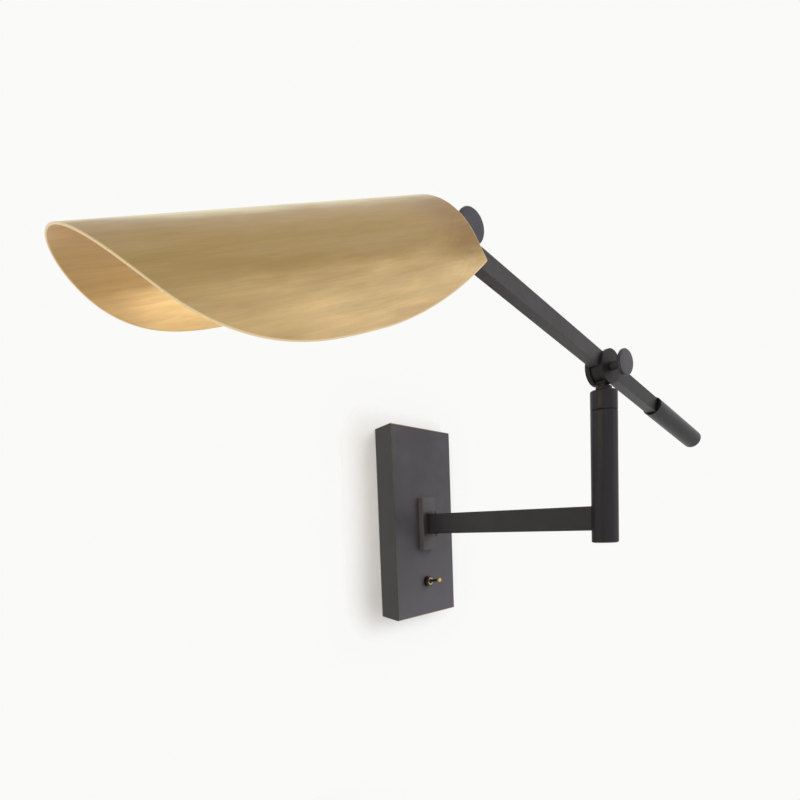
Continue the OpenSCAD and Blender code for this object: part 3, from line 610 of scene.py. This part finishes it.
zinc = bare_metal("zinc plate", rgb(168, 168, 170), rgb(196, 196, 194), 0.38)
nickel = bare_metal("nickel plate", rgb(150, 140, 122), rgb(190, 182, 164), 0.25)
brass = bare_metal("brass", rgb(196, 164, 100), rgb(214, 184, 122), 0.28, wear=0.5)
strip_brass = bare_metal("dull brass strip", rgb(160, 134, 86), rgb(182, 154, 104), 0.42)
nut_black = bare_metal("blackened nut", rgb(52, 48, 44), rgb(70, 65, 59), 0.4, size=120.0)
lever_brown = bare_metal("browned brass", rgb(70, 50, 24), rgb(104, 76, 36), 0.34, size=300.0,
                         by_place=gilt_tip)
print("metals:", [m.name for m in (zinc, nickel, brass, strip_brass, nut_black, lever_brown)])

# %% [markdown]
# ## Screw paint, switch body and ceramic
# Three small pieces don't look like metal: the green ground screw, the switch's body of black
# phenolic plastic and the white lampholder. Their Metallic stays 0, and they are told apart by
# roughness and by the height of their grain: moulded plastic is matt and pitted, glaze nearly
# smooth.

# %% Painted screw, switch body, ceramic
def moulded(name, tone_a, tone_b, rough, size, height):
    """Plastic, paint or glaze: clouds of the given size, and a grain of the given height."""
    mat, t, bsdf = new_material(name)
    grained(t, bsdf, Size=1500.0, Rough=rough, Spread=0.1, Height=height)
    t.give(bsdf["Base Color"], cloudy(t, size, tone_a, tone_b))
    return mat

green = moulded("green screw paint", rgb(38, 104, 52), rgb(52, 126, 66), 0.35, 90.0, 0.00001)
switch_black = moulded("switch phenolic", rgb(26, 26, 28), rgb(36, 35, 37), 0.5, 50.0, 0.00003)
glaze = moulded("ceramic glaze", rgb(226, 221, 208), rgb(236, 232, 222), 0.22, 40.0, 0.00001)
print("finishes so far:", len(bpy.data.materials))

# %% [markdown]
# ## The shade's surface
# The shade is one leaf of thin brass: square across near the arm, widening, then rounding off
# at its tip, and rolled over a large radius so that both sides hang straight down. On paper it
# is easiest to draw flat, so the surface is worked out in two steps. `leaf_half` gives half
# the width of the flat leaf at a distance u along it, and `folded` rolls the flat point (u, s)
# round the bend and then straight down the side. A grid of u and s makes the outer skin, the
# same grid pushed in by the metal's thickness makes the inner one, and a half round closes
# the rim. Rows get closer together towards the tip, where the outline turns fastest.

# %% Sizes of the leaf, in metres
LEAF_LEN, LEAF_AT = 0.225, 0.1045
END_HALF, WIDE_HALF = 0.0738, 0.0974
NEAR_FULL, TIP_FULL = 1.73, 3.2
BEND_R, BEND_A, SHEET = 0.057, math.radians(57.9), 0.0012
LEAF_START, RIDGE_UP = 0.0297, 0.0284
ARM_LEN, ARM_TILT, STEM_TILT = 0.209, 16.8, -26.7
LEAF_ROLL, LEAF_PITCH = 18.4, 5

def turned(axis, degrees):
    """A rotation by the right-hand rule as a 3 by 3 array."""
    return np.array(Matrix.Rotation(math.radians(degrees), 3, axis))

ARM = turned("Z", ARM_YAW) @ turned("Y", ARM_TILT)
HEAD = PIVOT + ARM @ np.array([-ARM_LEN, 0, 0])
STEM = turned("Z", ARM_YAW) @ turned("Y", STEM_TILT)
LEAF = STEM @ turned("X", LEAF_ROLL) @ turned("Y", LEAF_PITCH)
print("shade joint at", HEAD.round(4))

# %% The outline and the fold
def leaf_outline(rows_near, rows_tip):
    """Distance along and half width: a power curve from the square end to the widest place,
    then a superellipse to the tip, stepped by its own angle so that it stays smooth."""
    u1 = np.linspace(0, LEAF_AT, rows_near, endpoint=False)
    s1 = END_HALF + (WIDE_HALF - END_HALF) * (1 - (1 - u1 / LEAF_AT) ** NEAR_FULL)
    q = np.linspace(0, np.pi / 2, rows_tip)
    u2 = LEAF_AT + (LEAF_LEN - LEAF_AT) * np.sin(q) ** (2 / TIP_FULL)
    s2 = WIDE_HALF * np.cos(q)
    return np.r_[u1, u2], np.r_[s1, s2]

def folded(u, s, depth):
    """A flat point (u, s) on the folded sheet: it goes round the bend by the angle s over the
    radius, up to the bend's full angle, then straight on; depth moves it in towards the axis."""
    a = np.minimum(np.abs(s) / BEND_R, BEND_A)
    over = np.maximum(np.abs(s) - BEND_R * BEND_A, 0)
    r = BEND_R - depth
    y = np.sign(s) * (r * np.sin(a) + over * math.cos(BEND_A))
    z = RIDGE_UP - BEND_R + r * np.cos(a) - over * math.sin(BEND_A)
    local = np.stack(np.broadcast_arrays(-(LEAF_START + u), y, z), -1)
    return HEAD + local @ LEAF.T

u_line, s_line = leaf_outline(54, 90)
print("leaf", round(u_line[-1] * 1000, 1), "mm long,", round(s_line.max() * 2000, 1), "mm wide")

# %% [markdown]
# ## The leaf's mesh
# A sheet of metal isn't a surface without thickness: its rim catches the light as a thin bright
# line, which is what draws the leaf's edge in the photograph. Solidify would make a square rim,
# so the rim is worked out: the two skins stop half a thickness short of the outline, and half
# circles join them all the way round. `inset_outline` finds where the skins stop, `rim_path`
# the way that the half circles follow, and `leaf_mesh` puts it together.

# %% The inset outline
def inset_outline(u, s, by):
    """The outline moved inwards by a distance, along its own normal in the flat sheet."""
    du, ds = np.gradient(u), np.gradient(s)
    n = np.stack([-ds, du]) / np.maximum(np.hypot(du, ds), 1e-12)
    n[:, 0], n[:, -1] = (0, 1), (1, 0)
    iu, si = u - n[0] * by, s - n[1] * by
    iu[0], si[-1] = by, 0
    return np.maximum(iu, by), np.maximum(si, 0), n

print("skins stop", SHEET / 2 * 1000, "mm short of the outline")

# %% Points of the skins, and the way of the rim
CROWDED = 0.35

def skin_points(iu, si, v):
    """Both skins, each a grid of rows along u and columns v across, then one point at the tip.
    Gives back the points in the room and their flat (u, s)."""
    U = np.repeat(iu[:-1, None], len(v), 1)
    S = si[:-1, None] * v[None, :]
    points, flat = [], []
    for depth in (0.0, SHEET):
        points += [folded(U, S, depth).reshape(-1, 3), folded(iu[-1:], np.zeros(1), depth)]
        flat += [np.c_[U.ravel(), S.ravel()], np.c_[iu[-1:], [0]]]
    return points, flat

def rim_path(iu, si, n, v):
    """The rim's way round: along the square end, up one side, over the tip and back. Gives back
    its flat u and s, and the direction out of the sheet, which is halfway at the corners."""
    lu = np.r_[iu[0] + 0 * v[:-1], iu[:-1], iu[-1], iu[:-1][::-1][:-1]]
    ls = np.r_[si[0] * v[:-1], si[:-1], 0, -si[:-1][::-1][:-1]]
    side_n = n[:, :-1].copy()
    end_n = np.tile([[-1.0], [0.0]], len(v) - 1)
    corner = np.array([-1, 1]) / math.sqrt(2)
    side_n[:, 0] = corner
    end_n[:, 0] = corner * (1, -1)
    ln = np.c_[end_n, side_n, [[1], [0]], (side_n * [[1], [-1]])[:, ::-1][:, :-1]]
    return lu, ls, ln

print("columns are crowded towards the sides by", CROWDED)

# %% Two skins and a half round rim
def leaf_mesh(columns=96, rim_steps=6):
    """Two skins, and a half circle of rim_steps steps between them that is SHEET across: at
    the angle a it stands out by SHEET / 2 * sin(a). Gives back points, faces, each point's
    flat (u, s), and each face's side: 0 outer, 1 inner, 2 rim."""
    iu, si, n = inset_outline(u_line, s_line, SHEET / 2)
    even = np.linspace(-1, 1, columns + 1)
    v = np.sin(np.linspace(-np.pi / 2, np.pi / 2, columns + 1)) * CROWDED + even * (1 - CROWDED)
    points, flat = skin_points(iu, si, v)
    size = len(points[0]) + 1
    grid = np.arange(size - 1).reshape(-1, columns + 1)
    corners = [grid[:-1, :-1], grid[1:, :-1], grid[1:, 1:], grid[:-1, 1:]]
    quads = np.stack(corners, -1).reshape(-1, 4)
    fan = np.stack([grid[-1, :-1], np.full(columns, size - 1), grid[-1, 1:]], -1)
    loop = np.r_[grid[0, :-1], grid[:, -1], size - 1, grid[::-1, 0][:-1]]
    lu, ls, ln = rim_path(iu, si, n, v)
    rings, count = [loop], 2 * size
    for k in range(1, rim_steps):
        a = np.pi * k / rim_steps
        out, depth = SHEET / 2 * math.sin(a), SHEET / 2 * (1 - math.cos(a))
        pu, ps = lu + ln[0] * out, ls + ln[1] * out
        points.append(folded(pu, ps, depth))
        flat.append(np.c_[pu, ps])
        rings.append(np.arange(count, count + len(loop)))
        count += len(loop)
    rings.append(loop + size)
    rim = np.concatenate([np.stack([a, np.roll(a, -1), np.roll(b, -1), b], -1)
                          for a, b in zip(rings, rings[1:])])
    outer = [*quads.tolist(), *fan.tolist()]
    inner = [*(quads[:, ::-1] + size).tolist(), *(fan[:, ::-1] + size).tolist()]
    faces = outer + inner + rim.tolist()
    side = np.r_[np.zeros(len(outer)), np.ones(len(inner)), np.full(len(rim), 2)].astype(int)
    return np.concatenate(points), faces, np.concatenate(flat), side

def put_mesh(name, points, faces):
    """Makes a smooth object at the origin from whole arrays of points and faces."""
    mesh = bpy.data.meshes.new(name)
    mesh.from_pydata(np.asarray(points).tolist(), [], [list(f) for f in faces])
    mesh.polygons.foreach_set("use_smooth", np.full(len(mesh.polygons), True))
    mesh.validate()
    piece = bpy.data.objects.new(name, mesh)
    bpy.context.scene.collection.objects.link(piece)
    return piece

points, faces, flat, side = leaf_mesh()
leaf = put_mesh("shade_leaf", points, faces)
print("leaf:", len(points), "points,", len(faces), "faces")

# %% [markdown]
# ## Flat coordinates on the leaf
# The brushing follows the sheet, not the room, so the finish needs to know where each point
# was on the flat leaf. That is what a UV map is for: here it holds u and s in metres. A second
# value, the distance from the rim, is kept as an attribute and lets the edge be brighter, a
# painted highlight.

# %% UV map and rim distance
def loop_values(mesh):
    """The point that each corner of each face stands on."""
    index = np.empty(len(mesh.loops), np.int32)
    mesh.loops.foreach_get("vertex_index", index)
    return index

def rim_distance(flat):
    """Distance of each flat point to the nearest point of the outline, by whole arrays."""
    outline = np.concatenate([np.c_[u_line, s_line], np.c_[u_line, -s_line][::-1],
                              np.c_[np.zeros(80), np.linspace(-END_HALF, END_HALF, 80)]])
    steps = np.roll(outline, -1, 0) - outline
    fine = np.concatenate([outline + steps * k / 4 for k in range(4)])
    far = np.full(len(flat), 1.0)
    for part in np.array_split(fine, 24):
        far = np.minimum(far, np.sqrt(((flat[:, None] - part[None]) ** 2).sum(-1)).min(1))
    return far

mesh = leaf.data
uv = mesh.uv_layers.new(name="sheet")
uv.data.foreach_set("uv", flat[loop_values(mesh)].astype(np.float32).ravel())
edge = mesh.attributes.new("rim", "FLOAT", "POINT")
from_rim = rim_distance(flat)
edge.data.foreach_set("value", from_rim.astype(np.float32))
print("rim distance up to", round(from_rim.max() * 1000), "mm")

# %% [markdown]
# ## Antiqued brass
# The leaf was brushed along its length and then darkened by hand and rubbed back. From the
# ridge outwards it goes from a pale strip through a pinkish tan and olive to a lighter gold
# towards the hanging edge. These bands are painted light: the pale strip is a painted highlight
# along the ridge, and the tan, olive and gold are painted reflections. So the finish is built on
# the distance from the ridge, which is the second flat coordinate: four tones follow each other
# with soft borders, and slow noise lets the borders wander. A fifth, browner tone lies near the
# square end and in old patches near the hanging edge. Metallic stays a little under 1, because
# the lacquer over the metal scatters some light by itself.

# %% Brushed bands: sockets
TONES = ("Pale", "Tan", "Olive", "Gold", "Stain")
bands, t, i, o = make_group("brushed bands",
    {"UV": ("Vector", None), "Seed": ("Float", 0.0), "Streak": ("Float", 0.12),
     "Gold From": ("Float", 0.052), "Gold To": ("Float", 0.086),
     "Fade From": ("Float", 0.12), "Fade To": ("Float", 0.21),
     **{name: ("Color", None) for name in TONES}},
    {"Color": ("Color", None), "Stroke": ("Float", None), "Bands": ("Float", None)})
flat_uv = t.parts(i["UV"])
along, across = flat_uv[0], t.math("ABSOLUTE", flat_uv[1])
at = t.add("VectorMath", operation="ADD", I0=i["UV"], I1=t.add("CombineXYZ", Z=i["Seed"]))
print("group:", bands.name, "with tones", TONES)

# %% [markdown]
# ## Brush strokes
# A brush leaves long thin strokes. Noise that is stretched many times along the leaf looks like
# them, and three scales of it, from broad bands to single strokes, keep it from looking like
# one pattern. An image could hold strokes too, but noise has no seams and stays sharp close up.

# %% Brushed bands: strokes
def streaky(length, width, detail, place=(0, 0, 0), vector=at):
    """Noise whose spots are about length by width, both in metres."""
    return t.noise(t.stretch(vector, (1 / length, 1 / width, 1), place), 1.0, detail, 0.6)

# strokes fan out towards the corner near the joint, as a hand rubs round an edge
fan = t.math("MULTIPLY", t.ease(along, 0.07, 0.005), t.ease(across, 0.028, 0.06))
lean = t.add("CombineXYZ", Y=t.math("MULTIPLY", along, 0.5))
slant = t.add("VectorMath", operation="ADD", I0=at, I1=lean)
drift = t.math("MULTIPLY", t.math("SUBTRACT", streaky(0.16, 0.05, 4), 0.5), 0.05)
off = t.math("ADD", across, drift)
broad = streaky(0.12, 0.012, 4, (3.1, 0.7, 0))
middle = streaky(0.045, 0.0030, 5)
strokes = streaky(0.014, 0.0007, 4)
corner = streaky(0.011, 0.0017, 4, (1.7, 0.2, 0), slant)
patches = t.noise(t.stretch(at, (16, 70, 1), (2, 9, 0)), 1.0, 4, 0.55)
fine = t.mix(fan, t.grey(strokes), t.grey(corner))
print("strokes 14 by 0.7 mm, bands 45 by 3 mm, broad bands 120 by 12 mm")

# %% Brushed bands: tones from the ridge outwards
def spread(value, by):
    """Noise as a factor between 1 - by and 1 + by."""
    return t.ramp(value, 0.3, 0.7, t.math("SUBTRACT", 1.0, by), t.math("ADD", 1.0, by))

# tan into olive by distance from the ridge: painted reflection bands
colour = t.mix(t.ease(off, 0.02, 0.042), i["Tan"], i["Olive"])
# lighter gold towards the hanging edge, fading towards the tip: a painted reflection outside and a
# painted pool of the bulb's light inside
gold = t.math("MULTIPLY", t.ease(off, i["Gold From"], i["Gold To"]),
              t.ease(along, i["Fade From"], i["Fade To"], 1.0, 0.45))
colour = t.mix(gold, colour, i["Gold"])
colour = t.mix(t.ramp(broad, 0.44, 0.66, 0, 0.4), colour, i["Tan"])
# browner in a band near the square end
held = t.math("MULTIPLY", t.ease(off, 0.02, 0.038), t.ease(off, 0.07, 0.054))
held = t.math("MULTIPLY", t.ease(along, 0.05, 0.0), held)
uneven = t.ramp(streaky(0.04, 0.006, 3, (5, 1, 0)), 0.3, 0.6, 0.45, 0.95)
colour = t.mix(t.math("MULTIPLY", held, uneven), colour, i["Stain"])
# old patches towards the hanging edge, and a darker edge
aged = t.math("MULTIPLY", t.ease(across, 0.05, 0.085), t.ramp(patches, 0.42, 0.62, 0, 0.22))
colour = t.mix(aged, colour, i["Stain"])
colour = t.mix(t.ease(across, 0.076, 0.096, 0, 0.3), colour, i["Stain"])
# the pale strip along the ridge is a painted highlight
colour = t.mix(t.ease(off, 0.007, 0.029), i["Pale"], colour)
reach = t.math("ADD", 0.05, t.math("MULTIPLY", fan, 0.05))
rub = t.math("MULTIPLY", spread(middle, i["Streak"]), spread(fine, reach))
t.give(o["Color"], t.mix(1.0, colour, t.grey(rub), "MULTIPLY"))
t.give(o["Stroke"], fine)
t.give(o["Bands"], middle)
print("nodes in the group:", len(bands.nodes))

# %% [markdown]
# ## Outside, inside and rim
# The same group makes three materials. The inside has browner tones, and its gold, which
# begins more sharply and fades before the tip, is a painted pool of the bulb's light. The rim
# is bright and has no strokes, and both skins brighten in the last millimetre before it: these
# brighter rims are a painted highlight.

# %% Outside, inside and rim of the leaf
def leaf_brass(name, seed, tones, streak, rough, metallic, rim_highlight_tone, rim_width, bump=0.5, **where):
    """Brushed brass on the sheet's flat coordinates. streak is how strongly the bands show, a
    brighter rim tone, a painted highlight, takes over within rim_width of the rim, and where
    moves the group's borders."""
    mat, t, bsdf = new_material(name)
    at = t.add("UVMap", uv_map="sheet")
    colours = {n: rgb(*tone) for n, tone in zip(TONES, tones)}
    made = use(t, bands, UV=at, Seed=seed, Streak=streak, **where, **colours)
    # within rim_width of the rim the skin takes a brighter tone: a painted highlight
    near = t.ramp(t.add("Attribute", out="Fac", attribute_name="rim"), 0.0, rim_width, 1.0, 0.0)
    t.give(bsdf["Base Color"], t.mix(near, made["Color"], rgb(*rim_highlight_tone)))
    t.give(bsdf["Roughness"], t.ramp(made["Bands"], 0.3, 0.7, rough - 0.05, rough + 0.07))
    t.give(bsdf["Normal"], t.add("Bump", Height=made["Stroke"], Distance=0.00003, Strength=bump))
    bsdf["Metallic"].default_value = metallic
    return mat

# the tones stand in the order of TONES
OUTER = ((233, 223, 186), (177, 151, 112), (159, 133, 84), (234, 203, 150), (146, 114, 76))
INNER = ((208, 172, 122), (188, 153, 106), (175, 142, 94), (240, 203, 143), (150, 119, 81))
# the rim's own tones are bright: a painted highlight where the edge catches the light
RIM_HIGHLIGHT_TONES = ((182, 154, 106), (190, 160, 112), (208, 178, 128), (230, 202, 154), (176, 144, 94))
# outside, the bands by distance from the ridge are a painted highlight and painted reflections
outside = leaf_brass("leaf brass outside", seed=0.0, tones=OUTER, streak=0.095, rough=0.45,
                     metallic=0.8, rim_highlight_tone=(216, 188, 138), rim_width=0.0012)
# inside, the gold is a painted pool of the bulb's light, sharp at its start, faded before the tip
inside = leaf_brass("leaf brass inside", seed=3.0, tones=INNER, streak=0.095, rough=0.42,
                    metallic=0.8, rim_highlight_tone=(204, 168, 108), rim_width=0.0012,
                    Gold_From=0.055, Gold_To=0.068, Fade_From=0.165, Fade_To=0.195)
rim_mat = leaf_brass("leaf brass rim", seed=7.0, tones=RIM_HIGHLIGHT_TONES, streak=0.03, rough=0.3,
                     metallic=0.9, rim_highlight_tone=(236, 216, 172), rim_width=0.0009, bump=0.0)
for mat in (outside, inside, rim_mat):
    leaf.data.materials.append(mat)
leaf.data.polygons.foreach_set("material_index", side.astype(np.int32))
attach(leaf, "shade_set")
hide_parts("shade")
print("leaf faces outside, inside, rim:", np.bincount(side))

# %% [markdown]
# ## The bulb
# A small tubular bulb lights the leaf from inside: frosted glass on a nickel cap. Its outline
# is a profile of radius against distance, spun round the lampholder's axis.

# %% The bulb's glass
def turned_mesh(name, along, radius, origin, frame3, sides=64):
    """A profile spun round the local X axis: ring k holds the points at along[k], radius[k]."""
    q = np.linspace(0, 2 * np.pi, sides, endpoint=False)
    ring = np.stack([np.zeros(sides), np.cos(q), np.sin(q)], -1)
    local = ring[None] * np.asarray(radius)[:, None, None]
    local[..., 0] = np.asarray(along)[:, None]
    pts = origin + local.reshape(-1, 3) @ frame3.T
    n = len(along)
    g = np.arange(n * sides).reshape(n, sides)
    near, far = g[:-1], g[1:]
    quads = np.stack([near, np.roll(near, -1, 1), np.roll(far, -1, 1), far], -1).reshape(-1, 4)
    ends = [g[0][::-1].tolist(), g[-1].tolist()]
    return put_mesh(name, pts, quads.tolist() + ends)

BULB_AT, BULB_LEN, BULB_R, BULB_NECK = 0.0788, 0.084, 0.0124, 0.0069
LIP, SHOULDER = 0.002, 0.012

def bulb_profile(rows=28):
    """Distance and radius of a tubular bulb: a soft shoulder, radius = neck + (r - neck) * ease,
    then a straight tube, then a dome that is a quarter of an ellipse."""
    q = np.linspace(0, 1, rows)
    swell = BULB_NECK + (BULB_R - BULB_NECK) * q * q * (3 - 2 * q)
    shoulder = np.c_[LIP + SHOULDER * q, swell]
    a = q[1:] * np.pi / 2
    dome = np.c_[BULB_LEN - 0.0005 - BULB_R + BULB_R * np.sin(a), BULB_R * np.cos(a)]
    line = np.concatenate([[[0.0004, BULB_NECK]], shoulder, dome])
    return BULB_AT + line[:, 0], np.maximum(line[:, 1], 0.0001)

far, wide = bulb_profile()
bulb = turned_mesh("bulb", -far, wide, HEAD, STEM)
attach(bulb, "stem")
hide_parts("bulb_glass")

# %% [markdown]
# ## The glow
# The bulb glows a warm white, which lights the inside of the leaf amber, and the gold on the
# inside is also a painted pool of its light. The glass itself gives off the light: its Emission
# Strength is high enough to light the leaf, so no lamp is hidden inside it. Frosted glass glows
# evenly, and the filament behind it, weaker and more orange, hardly shows.

# %% Glow of glass and filament
BULB_GLOW, WIRE_GLOW = 30.0, 8.0
bulb_mat, t, bsdf = new_material("frosted glass, lit")
grained(t, bsdf, Size=900.0, Rough=0.45, Spread=0.2, Height=0.00002)
t.give(bsdf["Base Color"], (1, 0.94, 0.84, 1))
t.give(bsdf["Emission Color"], cloudy(t, 40.0, (1.0, 0.92, 0.76, 1), (1.0, 0.95, 0.82, 1)))
bsdf["Emission Strength"].default_value = BULB_GLOW
bulb.data.materials.append(bulb_mat)

wire_mat, t, bsdf = new_material("lit filament")
t.give(bsdf["Base Color"], cloudy(t, 200.0, rgb(255, 214, 150), rgb(255, 230, 180)))
t.give(bsdf["Emission Color"], cloudy(t, 200.0, (1.0, 0.6, 0.25, 1), (1.0, 0.7, 0.35, 1)))
bsdf["Emission Strength"].default_value = WIRE_GLOW
print("glass glows with", BULB_GLOW, "and the filament with", WIRE_GLOW)

# %% [markdown]
# ## Finishes for the CAD nodes
# The other pieces keep their CAD shape. Each one's material slots are filled with the finish
# that the real piece would have.

# %% Give each node its finish
FINISH = {
    canopy_bronze: ["canopy"],
    tab_bronze: ["hinge_tab", "hinge_pin"],
    bar_bronze: ["bracket_bar"],
    bronze: ["arm_tube", "cover_screws"],
    rear_bronze: ["rear_tube"],
    post_bronze: ["post_tube", "swivel_cap"],
    foot_bronze: ["post_foot"],
    joint_bronze: ["neck_collar", "lower_yoke", "arm_hub", "end_hub", "shade_yoke"],
    grip_bronze: ["grip"],
    low_knob_bronze: ["tilt_knob"],
    high_knob_bronze: ["shade_knob"],
    cup_bronze: ["lamp_cup"],
    zinc: ["wall_plate", "tab_screws", "swivel_washer", "swivel_nut", "cup_nut"],
    nickel: ["toggle_bushing", "bulb_cap"],
    nut_black: ["toggle_nut"],
    brass: ["post_bush", "stem_nut", "shade_studs", "stud_nuts"],
    strip_brass: ["shade_bracket"],
    lever_brown: ["toggle_lever"],
    green: ["ground_screw"],
    switch_black: ["toggle_body"],
    glaze: ["lampholder"],
    wire_mat: ["filament"],
}
done = set()
for mat, names in FINISH.items():
    for name in names:
        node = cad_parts[name]
        node.data.materials.clear()
        node.data.materials.append(mat)
        done.add(name)
left = set(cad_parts) - done - {"shade", "bulb_glass"}
print(len(done), "nodes finished, left:", sorted(left))

# %% [markdown]
